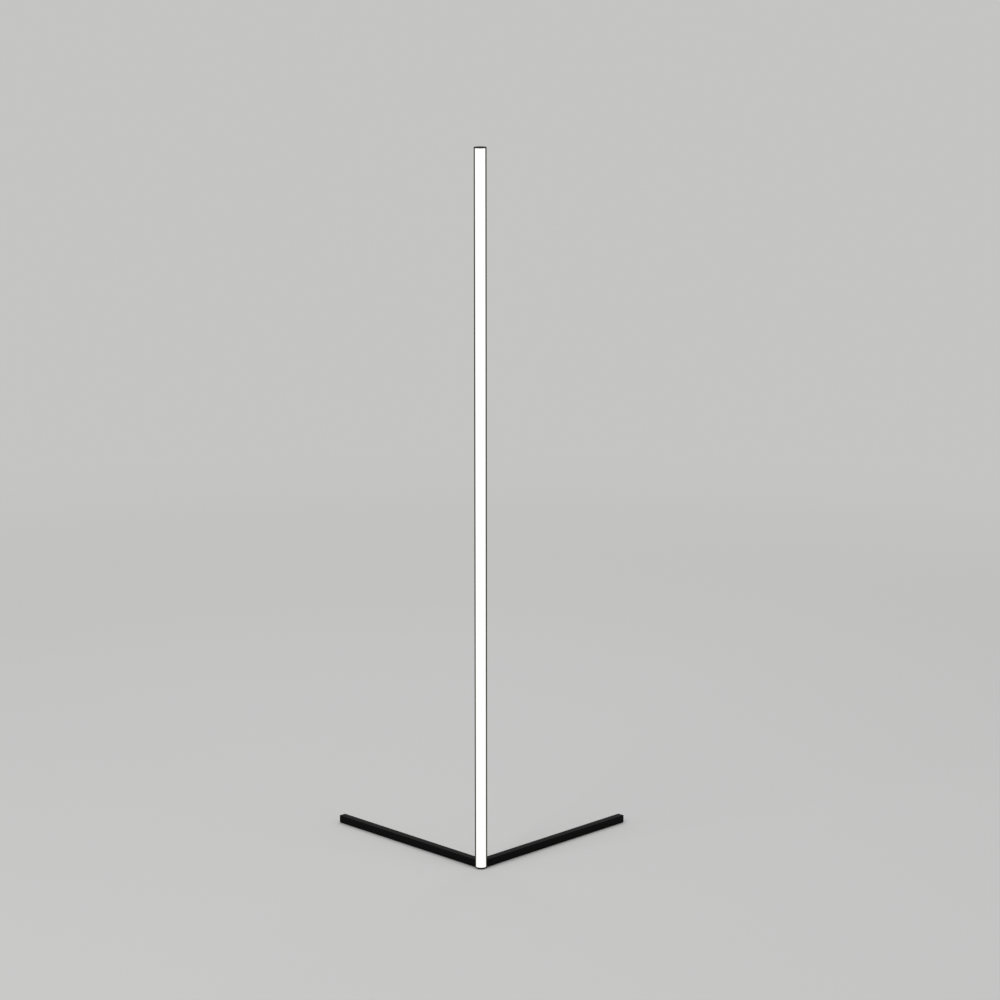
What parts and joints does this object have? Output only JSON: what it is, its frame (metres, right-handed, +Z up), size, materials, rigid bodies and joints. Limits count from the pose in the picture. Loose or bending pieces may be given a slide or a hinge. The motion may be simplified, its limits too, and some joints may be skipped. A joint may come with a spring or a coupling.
{
  "type": "corner floor lamp",
  "caption": "Slim upright light column with a rounded white diffuser, black rims and caps, on straight square-bar legs set at a right angle for a room corner.",
  "frame": {"origin": "on the floor below the column's axis, at the middle of the pad under the column", "axes": "+Z up along the column; the light faces -Y; the legs run back, 45 degrees to each side of +Y; +X is the right-hand side for someone who faces the light"},
  "size_m": [0.5756, 0.2998, 1.4],
  "materials": {
    "black_anodised": "matte",
    "opal": "satin",
    "black_plastic": "matte",
    "black_coat": "matte",
    "black_screw": "satin",
    "zinc_screw": "satin",
    "pad_rubber": "matte",
    "board": "gloss",
    "chip": "gloss",
    "resistor": "satin",
    "tape": "matte",
    "copper": "satin",
    "red_lead": "matte",
    "black_lead": "matte",
    "plated_contact": "satin"
  },
  "bodies": {
    "root": {"column_housing": "black_anodised", "diffuser": "opal", "top_cap": "black_plastic", "top_cap_screws": "black_screw", "foot_hub": "black_coat", "column_screws": "black_screw", "left_leg": "black_coat", "right_leg": "black_coat", "leg_screws": "zinc_screw", "apex_pad": "pad_rubber", "left_leg_pad": "pad_rubber", "right_leg_pad": "pad_rubber", "led_board_lower": "board", "led_board_middle": "board", "led_board_upper": "board", "led_chips_lower": "chip", "led_chips_middle": "chip", "led_chips_upper": "chip", "resistors_lower": "resistor", "resistors_middle": "resistor", "resistors_upper": "resistor", "board_tape_lower": "tape", "board_tape_middle": "tape", "board_tape_upper": "tape", "board_links": "copper", "lead_positive": "red_lead", "lead_negative": "black_lead", "lead_sleeve": "black_lead", "jack_body": "black_plastic", "jack_pin": "plated_contact", "jack_contact": "plated_contact", "jack_screws": "zinc_screw"}
  },
  "joints": []
}
